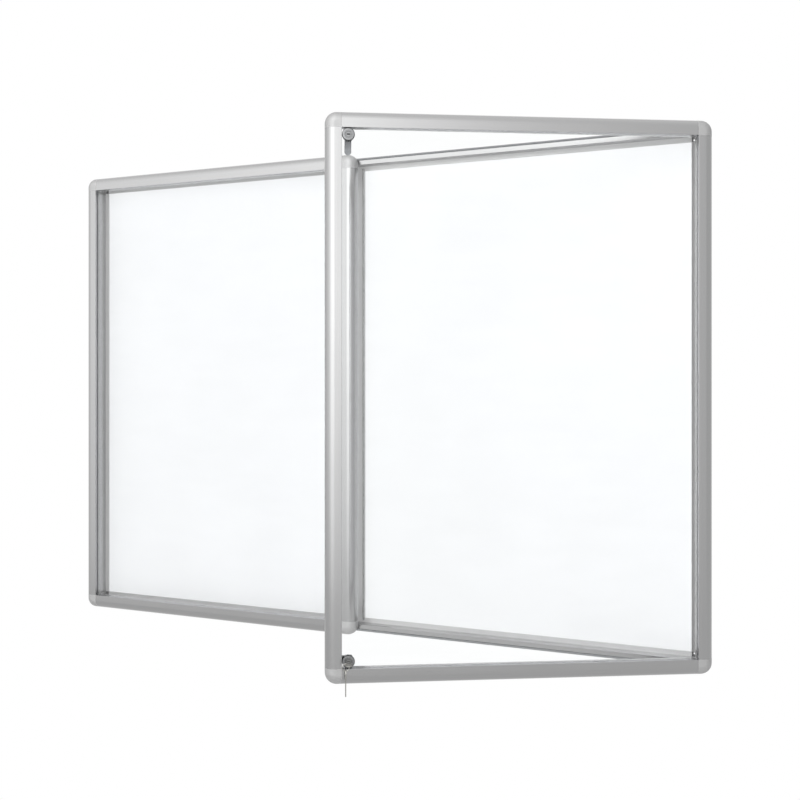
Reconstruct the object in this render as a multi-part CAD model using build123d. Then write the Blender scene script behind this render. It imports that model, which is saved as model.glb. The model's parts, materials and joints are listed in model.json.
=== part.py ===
from build123d import *
import math
import os

# Lockable two-door wall showcase.  Millimetres, +X along the board, -Y out of the wall, +Z up.
# The origin is the centre of the wall plane.  Doors and their fittings are drawn in "door space",
# where y is the depth behind the face of the closed doors; everything is moved back at the end.

# ---- whole board ----
board_width = 1400.0          # over both closed doors
board_height = 1000.0
board_depth = 60.0            # wall plane to the face of the closed doors
door_gap = 3.0                # between the two free stiles
rest_opening = 29.2           # degrees that the right door stands open at rest

# ---- door frame extrusion ----
door_depth = 22.0
door_face = 29.5              # width of the frame seen from the front
door_round = 17.0             # radius of the long outer rounding
door_box = 20.5               # from the outer edge to the bottom of the glazing groove
door_wall = 1.6
nose_depth = 6.0              # depth of the inner edge in front of the pane
limb_setback = 0.5            # the limb behind the pane ends this far short of the inner edge
door_corner_radius = 21.0     # plan radius of the corner pieces
spigot_length = 30.0
spigot_fit = 0.5

# ---- glazing ----
pane_thickness = 4.0
pane_edge_fit = 1.0
gasket_thickness = 0.5
gasket_edge_fit = 0.2
groove_fit = 0.3              # between the pane and the limb behind it

# ---- case extrusion ----
case_inset = 7.0              # case side behind the door's edge, all round
case_gap = 3.5                # from the back of the closed door to the case's front face
case_box = 13.5               # width of the hollow box and of the case's front face
case_wall = 1.6
lip_reach = 22.5              # inner edge of the channel's lip in front of the panel
flange_reach = 18.0           # inner edge of the channel's flange behind the panel
case_corner_radius = 4.0
case_spigot_length = 25.0
case_spigot_fit = 0.4

# ---- back panels ----
panel_sheet = 0.6             # enamelled steel face
panel_core = 6.9
panel_rear_fit = 0.4          # between the panel and the rear flange
panel_edge_fit = 0.9
panel_notch_fit = 0.3
rib_width = 3.0               # cover strip in front of the joint between the two panels
rib_proud = 8.0
rib_overlap = 3.5             # how far the rib runs onto the lips
joint_web = 2.0
joint_flange = 24.0
joint_flange_thickness = 1.6
joint_fit = 0.2

# ---- dust seal on the case front ----
seal_inset = 0.8
seal_width = 3.5
seal_gap = 0.4                # to the closed door

# ---- hinges ----
hinge_inset = 11.0            # pin axis from the door's outer edge
hinge_depth = 37.5            # pin axis behind the door's face
pin_diameter = 4.0
pin_bore_fit = 0.05           # radial, between pin and door arm
pin_press_fit = 0.02          # radial, between pin and case corner
pin_top = 8.0                 # upper end of the pin from the door's end
pin_length = 18.0
slot_start = 12.0             # hinge slot in the case corner, from the door's end
slot_height = 8.0
knuckle_radius = 3.6
knuckle_clearance = 1.3
arm_height = 6.4
arm_root = 1.0                # how deep the arm is rooted in the corner piece
washer_thickness = 0.6
washer_diameter = 7.8
washer_bore_fit = 0.15
washer_gap = 0.1

# ---- wall fixings ----
fixing_hole = 5.5
fixing_depth = 9.5            # length of the bush
fixing_chamfer = 0.8

# ---- cam locks ----
lock_inset = 41.0             # lock axis from the door's free edge and from its end
head_diameter = 22.0
head_thickness = 4.0
head_chamfer = 1.2
barrel_diameter = 16.0
barrel_hole_fit = 0.2
plug_end_wall = 2.5           # from the tip of the key to the rear end of the barrel
plug_diameter = 10.0
plug_fit = 0.05
plug_recess = 0.3
plug_square = 7.0
nut_flats = 20.0
nut_thickness = 4.5
nut_fit = 0.1
cam_width = 12.0
cam_thickness = 2.0
cam_reach = 31.5
cam_crank_start = 10.7
cam_crank_end = 17.2
cam_crank = 4.0               # how far the tip stands behind the root
cam_square_fit = 0.1
cam_slot_margin = 1.5
cam_slot_depth_fit = 1.0
cam_screw_head = 9.0
cam_screw_head_height = 2.6
cam_screw_shank = 4.0
cam_screw_length = 2.8
cam_screw_fit = 0.1

# ---- keys ----
key_thickness = 1.8
blade_width = 5.5
blade_length = 20.0
keyway_fit = 0.2
neck_width = 8.0
neck_length = 6.0
bow_width = 14.5
bow_length = 22.0
bow_hole = 8.6
key_notch = 0.9
key_notch_pitch = 3.6
key_notches = 4
ring_inner_diameter = 11.2
ring_wire = 1.4
ring_clearance = 0.12
spare_key_gap = 0.3

# ---- places worked out from the sizes ----
half_width = board_width / 2
half_height = board_height / 2
door_left = door_gap / 2                       # free edge of the right door
door_half_width = (half_width - door_left) / 2
case_front = door_depth + case_gap
case_end = door_face                           # rails start where the corner pieces end
panel_thickness = panel_sheet + panel_core
panel_front = board_depth - case_wall - panel_rear_fit - panel_thickness
lip_front = panel_front - case_wall
pane_front = nose_depth + gasket_thickness
pane_back = pane_front + pane_thickness
groove_back = pane_back + groove_fit
lock_x = door_left + lock_inset
lock_z = half_height - lock_inset
head_front = pane_front - head_thickness
plug_front = head_front + plug_recess
key_tip = head_front + blade_length
barrel_end = key_tip + plug_end_wall
cam_plane = barrel_end
hinge_x = half_width - hinge_inset
bow_hole_at = blade_length + neck_length + bow_length - bow_width / 2
bridge_width = (bow_width - bow_hole) / 2
bridge_offset = (bow_width + bow_hole) / 4
ring_radius = (ring_inner_diameter + ring_wire) / 2
ring_drop = ring_inner_diameter / 2 - math.hypot(bridge_width, key_thickness) / 2 - ring_clearance
right_hinge = Axis((hinge_x, hinge_depth, 0), (0, 0, 1))

UP = Vector(0, 0, 1)
RIGHT = Vector(1, 0, 0)
BACK = Vector(0, 1, 0)
LOW = (Align.MIN, Align.MIN, Align.MIN)


def block(low, high):
    """Box between two opposite corners."""
    size = [b - a for a, b in zip(low, high)]
    return Pos(*low) * Box(*size, align=LOW)


def polygon(points):
    return make_face(Polyline(*points, close=True))


def round_corner(sketch, point, radius):
    """Round the one corner of a section that lies nearest to a point."""
    corner = sketch.vertices().sort_by_distance(point)[0]
    return fillet(corner, radius)


def bar(section, start, inward, length):
    """Extrude a section whose x runs inward from the frame's edge and whose y runs back."""
    plane = Plane(origin=start, x_dir=inward, z_dir=inward.cross(BACK))
    return extrude(plane * section, amount=length)


def rod(radius, start, end, x=0.0, z=0.0):
    """Round bar along Y between two depths."""
    return Pos(x, (start + end) / 2, z) * Rot(90, 0, 0) * Cylinder(radius, end - start)


# ------------------------------------------------------------------ door frame
def door_section():
    """A box at the outer edge, a nose in front of the pane and a hollow limb behind it."""
    limb_reach = door_face - limb_setback
    outline = polygon([
        (0, 0), (door_face, 0), (door_face, nose_depth), (door_face - door_wall, nose_depth),
        (door_face - door_wall, door_wall), (door_box, door_wall), (door_box, groove_back),
        (limb_reach, groove_back), (limb_reach, door_depth), (0, door_depth),
    ])
    box_hollow = polygon([
        (door_wall, door_wall), (door_box - door_wall, door_wall),
        (door_box - door_wall, door_depth - door_wall), (door_wall, door_depth - door_wall),
    ])
    limb_hollow = polygon([
        (door_box, groove_back + door_wall), (limb_reach - door_wall, groove_back + door_wall),
        (limb_reach - door_wall, door_depth - door_wall), (door_box, door_depth - door_wall),
    ])
    outline = round_corner(outline, (0, 0, 0), door_round)
    box_hollow = round_corner(box_hollow, (door_wall, door_wall, 0), door_round - door_wall)
    return outline - box_hollow - limb_hollow


def door_bars():
    """Two rails and two stiles of the right door, cut square between the corner pieces."""
    section = door_section()
    rail_length = 2 * door_half_width - 2 * door_face
    stile_length = board_height - 2 * door_face
    left = door_left + door_face
    right = half_width - door_face
    top = half_height - door_face
    return {
        "top_rail": bar(section, (left, 0, half_height), -UP, rail_length),
        "bottom_rail": bar(section, (right, 0, -half_height), UP, rail_length),
        "free_stile": bar(section, (door_left, 0, -top), RIGHT, stile_length),
        "hinge_stile": bar(section, (half_width, 0, top), -RIGHT, stile_length),
    }


def door_corner(with_arm):
    """Moulded corner at the low end of both edges: x and z run inward from the corner."""
    corner = block((0, 0, 0), (door_face, door_depth, door_face))
    upright = corner.edges().filter_by(Axis.Y).sort_by_distance((0, door_depth / 2, 0))[0]
    corner = fillet(upright, door_corner_radius)
    front_rim = corner.faces().sort_by(Axis.Y)[0].edges()
    outer = [e for e in front_rim if min(e.center().X, e.center().Z) < door_face / 2
             and max(e.center().X, e.center().Z) < door_face - door_wall]
    corner = fillet(outer, door_round)
    corner -= block((door_box, nose_depth, door_box), (door_face, groove_back, door_face))
    near = door_round - (door_round - door_wall) / math.sqrt(2) + spigot_fit
    far = door_box - door_wall - spigot_fit
    deep = door_depth - door_wall - spigot_fit
    end = door_face + spigot_length
    corner += block((door_face, near, near), (end, deep, far))
    corner += block((near, near, door_face), (far, deep, end))
    if with_arm:
        low = slot_start + (slot_height - arm_height) / 2
        arm = block((hinge_inset - knuckle_radius, door_depth - arm_root, low),
                    (hinge_inset + knuckle_radius, hinge_depth, low + arm_height))
        middle = Pos(hinge_inset, hinge_depth, low + arm_height / 2)
        arm += middle * Cylinder(knuckle_radius, arm_height)
        corner += arm
        corner -= middle * Cylinder(pin_diameter / 2 + pin_bore_fit, 2 * arm_height)
    return corner


def door_corners():
    """Four corners of the right door; the hinge side carries the arms."""
    plain = door_corner(False)
    hinged = door_corner(True)
    low_free = Pos(door_left, 0, -half_height) * plain
    low_hinge = Pos(half_width, 0, -half_height) * mirror(hinged, about=Plane.YZ)
    return {
        "bottom_free_corner": low_free,
        "bottom_hinge_corner": low_hinge,
        "top_free_corner": mirror(low_free, about=Plane.XY),
        "top_hinge_corner": mirror(low_hinge, about=Plane.XY),
    }


def pane():
    edge = door_box + pane_edge_fit
    sheet = block((door_left + edge, pane_front, -half_height + edge),
                  (half_width - edge, pane_back, half_height - edge))
    hole = barrel_diameter / 2 + barrel_hole_fit
    for z in (-lock_z, lock_z):
        sheet -= rod(hole, pane_front - 1, pane_back + 1, lock_x, z)
    return sheet


def glazing_gasket():
    outer = door_box + pane_edge_fit
    inner = door_face - gasket_edge_fit
    frame = block((door_left + outer, nose_depth, -half_height + outer),
                  (half_width - outer, pane_front, half_height - outer))
    return frame - block((door_left + inner, nose_depth - 1, -half_height + inner),
                         (half_width - inner, pane_front + 1, half_height - inner))


# ------------------------------------------------------------------ cam locks, axis on x = z = 0
def lock_body():
    head = rod(head_diameter / 2, head_front, pane_front)
    rim = head.edges().filter_by(GeomType.CIRCLE).sort_by(Axis.Y)[0]
    head = chamfer(rim, head_chamfer)
    body = head + rod(barrel_diameter / 2, pane_front, barrel_end)
    return body - rod(plug_diameter / 2 + plug_fit, head_front - 1, barrel_end + 1)


def lock_nut():
    start = pane_back
    profile = RegularPolygon(radius=nut_flats / 2, side_count=6, major_radius=False, rotation=30)
    nut = extrude(Plane.XZ * profile, amount=-nut_thickness)
    nut -= rod(barrel_diameter / 2 + nut_fit, -1, nut_thickness + 1)
    return Pos(0, start, 0) * nut


def lock_plug():
    plug = rod(plug_diameter / 2, plug_front, barrel_end)
    tail_end = cam_plane + cam_thickness - cam_square_fit
    plug += block((-plug_square / 2, barrel_end, -plug_square / 2),
                  (plug_square / 2, tail_end, plug_square / 2))
    half_slot = blade_width / 2 + keyway_fit
    half_gap = key_thickness / 2 + keyway_fit
    plug -= block((-half_slot, plug_front - 1, -half_gap), (half_slot, key_tip + keyway_fit, half_gap))
    screw_end = cam_plane + cam_thickness - cam_screw_length - cam_screw_fit
    return plug - rod(cam_screw_shank / 2 + cam_screw_fit, screw_end, tail_end + 1)


def lock_cam():
    """Cranked cam pointing down, with its root behind the barrel."""
    root_back = cam_plane + cam_thickness
    tip_front = cam_plane + cam_crank
    profile = make_face(Polyline(
        (cam_plane, cam_width / 2), (root_back, cam_width / 2), (root_back, -cam_crank_start),
        (tip_front + cam_thickness, -cam_crank_end), (tip_front + cam_thickness, -cam_reach),
        (tip_front, -cam_reach), (tip_front, -cam_crank_end), (cam_plane, -cam_crank_start),
        close=True))
    strap = extrude(Plane.YZ * profile, amount=cam_width / 2, both=True)
    length = cam_reach + cam_width / 2
    outline = Pos(0, cam_width / 2 - length / 2) * SlotOverall(length, cam_width, rotation=90)
    strap &= Pos(0, cam_plane - 1, 0) * extrude(Plane.XZ * outline, amount=-(cam_crank + cam_thickness + 2))
    half = plug_square / 2 + cam_square_fit
    return strap - block((-half, cam_plane - 1, -half), (half, root_back + 1, half))


def cam_screw():
    start = cam_plane + cam_thickness
    screw = rod(cam_screw_head / 2, start, start + cam_screw_head_height)
    rim = screw.edges().filter_by(GeomType.CIRCLE).sort_by(Axis.Y)[-1]
    screw = chamfer(rim, cam_screw_head_height / 4)
    screw += rod(cam_screw_shank / 2, start - cam_screw_length, start)
    slot = cam_screw_head_height / 3
    back = start + cam_screw_head_height
    return screw - block((-cam_screw_head, back - slot, -slot / 2), (cam_screw_head, back + 1, slot / 2))


# ------------------------------------------------------------------ keys
def flat_key():
    """Key lying flat, tip at the origin and bow towards +Y."""
    blade = Pos(0, blade_length / 2) * Rectangle(blade_width, blade_length)
    tips = blade.vertices().sort_by(Axis.Y)[:2]
    blade = chamfer(tips, blade_width / 4)
    neck_reach = neck_length + bow_width / 2
    neck = Pos(0, blade_length + neck_reach / 2) * Rectangle(neck_width, neck_reach)
    bow_middle = blade_length + neck_length + bow_length / 2
    bow = Pos(0, bow_middle) * SlotOverall(bow_length, bow_width, rotation=90)
    outline = blade + neck + bow - Pos(0, bow_hole_at) * Circle(bow_hole / 2)
    for count in range(key_notches):
        y = key_notch_pitch * (count + 1)
        for side in (-1, 1):
            outline -= Pos(side * blade_width / 2, y) * Rectangle(key_notch, key_notch * 2)
    return extrude(outline, amount=key_thickness / 2, both=True)


def key_in_lock():
    return Pos(lock_x, key_tip, -lock_z) * Rot(0, 0, 180) * flat_key()


def key_ring():
    centre = Pos(lock_x - bridge_offset, key_tip - bow_hole_at, -lock_z - ring_drop)
    return centre * Rot(90, 0, 0) * Torus(ring_radius, ring_wire / 2)


def spare_key():
    """Second key, hanging edge-on from the bottom of the ring."""
    wire_z = -lock_z - ring_drop - ring_radius
    hole_z = wire_z - (bow_hole / 2 - ring_wire / 2 - spare_key_gap)
    start = (lock_x - bridge_offset, key_tip - bow_hole_at, hole_z - bow_hole_at)
    return Plane(origin=start, x_dir=BACK, z_dir=RIGHT) * flat_key()


# ------------------------------------------------------------------ case
def case_section():
    """Closed box: the case's front face and the side of the bays."""
    depth = lip_front - case_front
    outline = polygon([(0, 0), (case_box, 0), (case_box, depth), (0, depth)])
    hollow = polygon([
        (case_wall, case_wall), (case_box - case_wall, case_wall),
        (case_box - case_wall, depth - case_wall), (case_wall, depth - case_wall),
    ])
    return outline - hollow


def channel_section():
    """Channel behind the box that holds the panel's edge between a lip and a rear flange."""
    depth = board_depth - lip_front
    return polygon([
        (0, 0), (lip_reach, 0), (lip_reach, case_wall), (case_wall, case_wall),
        (case_wall, depth - case_wall), (flange_reach, depth - case_wall), (flange_reach, depth), (0, depth),
    ])


def case_frame(section, front, inset):
    """One section along the four sides of the case, cut square between the corner pieces."""
    x = half_width - inset
    z = half_height - inset
    end_x = half_width - case_end
    end_z = half_height - case_end
    return {
        "top_rail": bar(section, (-end_x, front, z), -UP, 2 * end_x),
        "bottom_rail": bar(section, (end_x, front, -z), UP, 2 * end_x),
        "left_stile": bar(section, (-x, front, -end_z), RIGHT, 2 * end_z),
        "right_stile": bar(section, (x, front, end_z), -RIGHT, 2 * end_z),
    }


def case_bars():
    bars = case_frame(case_section(), case_front, case_inset)
    wall_in = case_inset + case_box
    half_slot = math.sqrt(cam_reach ** 2 - (lock_inset - wall_in) ** 2) + cam_slot_margin
    front = cam_plane + cam_crank - cam_slot_depth_fit
    back = cam_plane + cam_crank + cam_thickness + cam_slot_depth_fit
    for side in (-1, 1):
        middle = side * lock_x
        slot = block((middle - half_slot, front, half_height - wall_in - 1),
                     (middle + half_slot, back, half_height - wall_in + case_wall + 1))
        bars["top_rail"] -= slot
        bars["bottom_rail"] -= mirror(slot, about=Plane.XY)
    return {"case_" + name: shape for name, shape in bars.items()}


def panel_channels():
    return list(case_frame(channel_section(), lip_front, case_inset).values())


def case_corner():
    """Corner block at the low end of both edges, measured from the door's outer corner."""
    window = case_inset + case_box
    corner = block((case_inset, case_front, case_inset), (case_end, board_depth, case_end))
    upright = corner.edges().filter_by(Axis.Y).sort_by_distance((case_inset, case_front, case_inset))[0]
    corner = fillet(upright, case_corner_radius)
    corner -= block((window, case_front - 1, window), (case_end + 1, board_depth + 1, case_end + 1))
    reach = knuckle_radius + knuckle_clearance
    corner -= block((case_inset - 1, case_front - 1, slot_start),
                    (hinge_inset + reach, hinge_depth + reach, slot_start + slot_height))
    pin_hole = pin_diameter / 2 + pin_press_fit
    depth = pin_top + pin_length + washer_gap
    corner -= Pos(hinge_inset, hinge_depth, depth / 2) * Cylinder(pin_hole, depth)
    near = case_inset + case_wall + case_spigot_fit
    far = case_inset + case_box - case_wall - case_spigot_fit
    front = case_front + case_wall + case_spigot_fit
    back = lip_front - case_wall - case_spigot_fit
    end = case_end + case_spigot_length
    corner += block((case_end, front, near), (end, back, far))
    corner += block((near, front, case_end), (far, back, end))
    return corner


def four_corners(piece):
    """Copies of a low-left corner piece at the four corners of the board."""
    low_left = Pos(-half_width, 0, -half_height) * piece
    low_right = mirror(low_left, about=Plane.YZ)
    return {
        "bottom_left": low_left,
        "bottom_right": low_right,
        "top_left": mirror(low_left, about=Plane.XY),
        "top_right": mirror(low_right, about=Plane.XY),
    }


def hinge_pin():
    middle = Pos(hinge_inset, hinge_depth, pin_top + pin_length / 2)
    return middle * Cylinder(pin_diameter / 2, pin_length)


def washer_pair():
    ring = Cylinder(washer_diameter / 2, washer_thickness)
    ring -= Cylinder(pin_diameter / 2 + washer_bore_fit, 2 * washer_thickness)
    inset = washer_gap + washer_thickness / 2
    low = Pos(hinge_inset, hinge_depth, slot_start + inset) * ring
    high = Pos(hinge_inset, hinge_depth, slot_start + slot_height - inset) * ring
    return [low, high]


def fixing_bush():
    window = case_inset + case_box
    middle = (window + case_end) / 2
    bush = block((window, board_depth - fixing_depth, window), (case_end, board_depth, case_end))
    bush -= rod(fixing_hole / 2, board_depth - fixing_depth - 1, board_depth + 1, middle, middle)
    mouth = bush.edges().filter_by(GeomType.CIRCLE).sort_by(Axis.Y)[0]
    return chamfer(mouth, fixing_chamfer)


def dust_seal():
    """Four soft strips on the outer part of the case's front face."""
    front = door_depth + seal_gap
    section = Rectangle(seal_width, case_front - front, align=(Align.MIN, Align.MIN))
    return list(case_frame(section, front, case_inset + seal_inset).values())


def right_panel(front, back):
    """One layer of the right panel, notched at its two outer corners."""
    edge = case_inset + case_wall + panel_edge_fit
    low_x = joint_web / 2 + joint_fit
    sheet = block((low_x, front, -half_height + edge), (half_width - edge, back, half_height - edge))
    notch_x = half_width - case_end - panel_notch_fit
    notch_z = half_height - case_end - panel_notch_fit
    for low_z, high_z in ((-half_height, -notch_z), (notch_z, half_height)):
        sheet -= block((notch_x, front - 1, low_z), (half_width, back + 1, high_z))
    return sheet


def joint_pieces():
    """Cover strip in front of the panels' joint, and the T bar that it closes, between and behind them."""
    lip_edge = half_height - case_inset - lip_reach
    rib_end = lip_edge + rib_overlap
    inner_end = lip_edge - joint_fit
    panel_back = panel_front + panel_thickness
    rib_half = rib_width / 2
    web_half = joint_web / 2
    flange_half = joint_flange / 2
    cover = block((-rib_half, panel_front - rib_proud, -rib_end), (rib_half, lip_front, rib_end))
    cover += block((-rib_half, lip_front, -inner_end), (rib_half, panel_front, inner_end))
    tee = block((-web_half, panel_front, -inner_end), (web_half, panel_back, inner_end))
    tee += block((-flange_half, panel_back, -inner_end),
                 (flange_half, panel_back + joint_flange_thickness, inner_end))
    return {"panel_joint_cover": cover, "panel_joint_bar": tee}


# ------------------------------------------------------------------ assembly
def mirrored(shape):
    return mirror(shape, about=Plane.YZ)


def opened(shape):
    """Swing a piece of the right door to the angle at which it stands at rest."""
    return shape.rotate(right_hinge, rest_opening)


def door_pieces():
    """Every piece of the closed right door, by its name without the side."""
    pieces = {}
    for name, shape in {**door_bars(), **door_corners()}.items():
        pieces["door_" + name] = shape
    pieces["door_pane"] = pane()
    pieces["door_gasket"] = glazing_gasket()
    nut = lock_nut()
    pieces["door_lock_nuts"] = Compound([Pos(lock_x, 0, z) * nut for z in (-lock_z, lock_z)])
    quarter_turn = Rot(0, 90, 0)
    for level, z, turn in (("top", lock_z, Rot(0, 0, 0)), ("bottom", -lock_z, quarter_turn)):
        place = Pos(lock_x, 0, z)
        pieces[level + "_lock_body"] = place * lock_body()
        pieces[level + "_lock_plug"] = place * lock_plug()
        pieces[level + "_lock_cam"] = place * turn * lock_cam()
        pieces[level + "_cam_screw"] = place * turn * cam_screw()
    return pieces


def board_nodes():
    nodes = dict(case_bars())
    for place, shape in four_corners(case_corner()).items():
        nodes["case_corner_" + place] = shape
    washers = [four_corners(ring) for ring in washer_pair()]
    nodes["hinge_washers"] = Compound([shape for level in washers for shape in level.values()])
    nodes["hinge_pins"] = Compound(list(four_corners(hinge_pin()).values()))
    nodes["wall_fixing_bushes"] = Compound(list(four_corners(fixing_bush()).values()))
    nodes["dust_seal"] = Compound(dust_seal())
    nodes["panel_channels"] = Compound(panel_channels())
    panel_middle = panel_front + panel_sheet
    nodes["right_panel_face"] = right_panel(panel_front, panel_middle)
    nodes["right_panel_core"] = right_panel(panel_middle, panel_front + panel_thickness)
    for layer in ("panel_face", "panel_core"):
        nodes["left_" + layer] = mirrored(nodes["right_" + layer])
    nodes.update(joint_pieces())
    for name, shape in door_pieces().items():
        nodes["left_" + name] = mirrored(shape)
        nodes["right_" + name] = opened(shape)
    for name, shape in (("key_in_lock", key_in_lock()), ("key_ring", key_ring()), ("spare_key", spare_key())):
        nodes[name] = opened(shape)
    return nodes


os.makedirs("parts", exist_ok=True)
to_wall = Pos(0, -board_depth, 0)
for node, solid in board_nodes().items():
    export_step(to_wall * solid, "parts/" + node + ".step")
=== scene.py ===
# %% [markdown]
# # A lockable notice board, piece by piece
#
# The board is a shallow aluminium case that hangs on a wall.  Two glazed doors close it, each with two
# cam locks, and one door stands ajar with its keys in the lower lock.  The construction comes in as a
# frame of solid pieces at their real places.  This lesson gives every piece the surface and the fine
# shape that the real one has.

# %% Load the frame
import json
import math
import bmesh
import bpy
from mathutils import Matrix, Vector

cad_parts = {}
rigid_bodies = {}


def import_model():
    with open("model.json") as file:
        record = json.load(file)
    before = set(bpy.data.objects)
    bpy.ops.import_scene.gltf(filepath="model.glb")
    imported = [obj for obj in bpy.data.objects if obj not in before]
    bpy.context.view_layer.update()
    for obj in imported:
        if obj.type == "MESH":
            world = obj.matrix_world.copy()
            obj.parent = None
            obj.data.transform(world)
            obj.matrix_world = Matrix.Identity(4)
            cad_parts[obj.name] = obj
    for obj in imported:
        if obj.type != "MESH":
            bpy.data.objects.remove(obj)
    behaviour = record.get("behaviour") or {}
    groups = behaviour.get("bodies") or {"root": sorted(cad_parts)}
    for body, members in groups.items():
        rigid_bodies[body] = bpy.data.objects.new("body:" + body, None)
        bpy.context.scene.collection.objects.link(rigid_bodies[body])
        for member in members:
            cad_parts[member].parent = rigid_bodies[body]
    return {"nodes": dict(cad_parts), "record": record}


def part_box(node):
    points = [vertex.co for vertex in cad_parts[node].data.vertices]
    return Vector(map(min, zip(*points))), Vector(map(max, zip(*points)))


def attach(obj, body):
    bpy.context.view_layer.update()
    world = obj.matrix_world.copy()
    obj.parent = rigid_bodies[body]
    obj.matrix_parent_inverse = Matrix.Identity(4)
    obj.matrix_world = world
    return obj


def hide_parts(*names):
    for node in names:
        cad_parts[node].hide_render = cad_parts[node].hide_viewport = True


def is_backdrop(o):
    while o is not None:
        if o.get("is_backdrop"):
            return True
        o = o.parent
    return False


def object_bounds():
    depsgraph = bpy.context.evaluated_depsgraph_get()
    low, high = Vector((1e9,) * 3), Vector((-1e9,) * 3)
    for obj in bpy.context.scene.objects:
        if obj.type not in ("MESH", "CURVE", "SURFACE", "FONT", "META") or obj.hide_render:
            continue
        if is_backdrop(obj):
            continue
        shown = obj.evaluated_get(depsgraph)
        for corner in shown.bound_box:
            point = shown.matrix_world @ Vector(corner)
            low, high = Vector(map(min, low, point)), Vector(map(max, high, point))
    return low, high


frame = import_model()
solid_low, solid_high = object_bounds()
MM = 0.001
body_of = {node: body for body, nodes in frame["record"]["behaviour"]["bodies"].items() for node in nodes}
slot_of = {row["node"]: row["material_slot"] for row in frame["record"]["subparts"]}
print("board", [round(side / MM) for side in solid_high - solid_low], "mm,", len(slot_of), "nodes")

# %% [markdown]
# ## Helpers for materials
#
# A colour is chosen on screen as an sRGB hex value, but a shader wants linear light, so one function
# turns the one into the other.  A second function adds a node with its settings and its links, which
# keeps each recipe below as short as a list.

# %% Colour and node helpers
def linear(code):
    """Linear colour of an sRGB hex value."""
    parts = [int(code[i:i + 2], 16) / 255 for i in (1, 3, 5)]
    return [p / 12.92 if p <= 0.04045 else ((p + 0.055) / 1.055) ** 2.4 for p in parts] + [1.0]


def add_node(tree, kind, inputs=(), **settings):
    """Add a node.  Inputs maps a socket's name or number to a value or to another node's output."""
    node = tree.nodes.new("ShaderNode" + kind)
    for name, value in settings.items():
        setattr(node, name, value)
    for socket, value in dict(inputs).items():
        if isinstance(value, bpy.types.NodeSocket):
            tree.links.new(value, node.inputs[socket])
        else:
            node.inputs[socket].default_value = value
    return node


def new_material(name):
    """An empty node material and its tree."""
    material = bpy.data.materials.new(name)
    material.use_nodes = True
    material.node_tree.nodes.clear()
    return material, material.node_tree


def pattern(tree, cell, detail=2.0, turn=0.0):
    """Noise from 0 to 1 whose cells measure so many metres along x, y and z, turned about z."""
    place = add_node(tree, "TexCoord")
    local = add_node(tree, "Mapping", {"Vector": place.outputs["Object"], "Rotation": (0, 0, turn),
                                       "Scale": cell}, vector_type="TEXTURE")
    return add_node(tree, "TexNoise", {"Vector": local.outputs[0], "Scale": 1.0, "Detail": detail}).outputs[0]


def spread(tree, value, low, high, start=0.35, end=0.65):
    """Stretch the middle of a noise pattern to a range of values."""
    return add_node(tree, "MapRange", {0: value, 1: start, 2: end, 3: low, 4: high}).outputs[0]


def shades(tree, value, dark, light, start=0.35, end=0.65):
    """Turn a noise pattern into a blend of two colours."""
    amount = spread(tree, value, 0.0, 1.0, start, end)
    return add_node(tree, "Mix", {0: amount, 6: linear(dark), 7: linear(light)}, data_type="RGBA").outputs[2]


# %% [markdown]
# ## Anodised aluminium
#
# The frame is extruded aluminium, etched matt and anodised in its natural silver colour.  Etching leaves
# a fine satin grain, and the die leaves faint lines along each bar.  An image of brushed metal would be
# the quick way, but it would stretch on a bar 1.3 m long.  Noise in real sizes follows each bar instead,
# so there is one finish along the rails, one along the stiles and one along the open door's rails.

# %% The opening of the right door
swing = {joint["name"]: joint for joint in frame["record"]["behaviour"]["joints"]}["right_door_swing"]
opening = math.radians(-swing["range_deg"][0])
hinge = Vector(swing["pos_m"]) / MM
print("right door open by", round(math.degrees(opening), 1), "degrees about", [round(v, 1) for v in hinge])


# %% Aluminium along a given direction
def anodised_aluminium(name, upright=False, turn=0.0):
    material, tree = new_material(name)
    # Etched grain is about 0.05 mm wide.  It is drawn 0.6 mm wide, so that it still shows from afar.
    grain = pattern(tree, (0.0006, 0.0006, 0.0006), 3.0, turn)
    # Die lines: 0.9 mm across and about 300 mm along the bar.
    cell = (0.0009, 0.0009, 0.3) if upright else (0.3, 0.0009, 0.0009)
    lines = pattern(tree, cell, 2.0, turn)
    # Slow change of tone along a bar, from the tank and from handling.
    cloud = pattern(tree, (0.12, 0.12, 0.12), 2.0, turn)
    tone = shades(tree, grain, "#A5A5A5", "#ABABAB")
    lined = add_node(tree, "Mix", {0: spread(tree, lines, 0.0, 0.35), 6: tone, 7: linear("#A0A1A2")},
                     data_type="RGBA").outputs[2]
    roughness = add_node(tree, "Math", {0: spread(tree, cloud, -0.02, 0.02),
                                        1: spread(tree, grain, 0.19, 0.23)}, operation="ADD").outputs[0]
    relief = add_node(tree, "Math", {0: lines, 1: grain}, operation="ADD").outputs[0]
    bump = add_node(tree, "Bump", {"Strength": 0.12, "Distance": 0.0001, "Height": relief})
    shader = add_node(tree, "BsdfPrincipled", {"Base Color": lined, "Metallic": 1.0, "Roughness": roughness,
                                               "Normal": bump.outputs[0]})
    add_node(tree, "OutputMaterial", {"Surface": shader.outputs[0]})
    return material


aluminium_rail = anodised_aluminium("anodised_aluminium_along_rail")
aluminium_stile = anodised_aluminium("anodised_aluminium_along_stile", upright=True)
aluminium_open_rail = anodised_aluminium("anodised_aluminium_along_open_rail", turn=opening)

# %% [markdown]
# ## Plated and ground metals
#
# The lock bodies are satin nickel plate, the cams dull zinc, the keys nickel silver and the hinge pins
# ground steel.  They differ in how sharply they mirror the room and in their tint: the keys are faintly
# warm, the zinc is darker and faintly blue.  One recipe covers them all, with two tones, two ends for the
# roughness and the size of the grain.


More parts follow.
